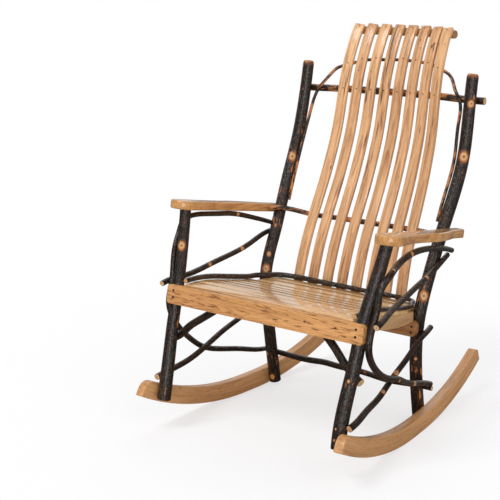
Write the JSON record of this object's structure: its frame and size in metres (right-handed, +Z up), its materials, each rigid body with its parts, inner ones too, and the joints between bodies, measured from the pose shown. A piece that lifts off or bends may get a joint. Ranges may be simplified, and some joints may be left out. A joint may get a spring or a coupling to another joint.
{
  "type": "rocking chair",
  "caption": "Rustic hickory rocking chair with bark-covered posts and bows, sawn oak seat and back slats, plank arms and plank rockers.",
  "frame": {"origin": "on the floor under the middle of the chair's outline, between the two rockers", "axes": "+Z up, the chair faces -Y, +X is the sitter's left"},
  "size_m": [0.7482, 0.9021, 1.1031],
  "materials": {
    "bark": "lacquered bark",
    "oak": "satin lacquer",
    "peeled_wood": "satin lacquer",
    "screw_steel": "black oxide"
  },
  "bodies": {
    "root": {"apron_screws": "screw_steel", "arm_brace_left": "bark", "arm_brace_right": "bark", "arm_left": "oak", "arm_right": "oak", "back_foot_board": "oak", "back_hoop": "bark", "back_slat_1": "oak", "back_slat_2": "oak", "back_slat_3": "oak", "back_slat_4": "oak", "back_slat_5": "oak", "back_slat_6": "oak", "back_slat_7": "oak", "back_slat_8": "oak", "crest_rod": "peeled_wood", "crest_screws": "screw_steel", "front_apron": "oak", "front_brace_left": "bark", "front_brace_right": "bark", "front_post_left": "bark", "front_post_right": "bark", "hoop_nails": "screw_steel", "hoop_screws": "screw_steel", "lower_back_rail": "bark", "lower_brace_left": "bark", "lower_brace_right": "bark", "rear_post_left": "bark", "rear_post_right": "bark", "rear_rail_screws": "screw_steel", "rear_seat_rail": "oak", "rear_stretcher": "bark", "rocker_left": "oak", "rocker_right": "oak", "seat_edge_twig": "bark", "seat_side_panel_left": "oak", "seat_side_panel_right": "oak", "seat_slat_1": "oak", "seat_slat_2": "oak", "seat_slat_3": "oak", "seat_slat_4": "oak", "seat_slat_5": "oak", "seat_slat_6": "oak", "seat_slat_7": "oak", "seat_slat_8": "oak", "side_bow_left": "bark", "side_bow_right": "bark", "upper_back_rail": "bark", "upper_rail_screws": "screw_steel"}
  },
  "joints": []
}
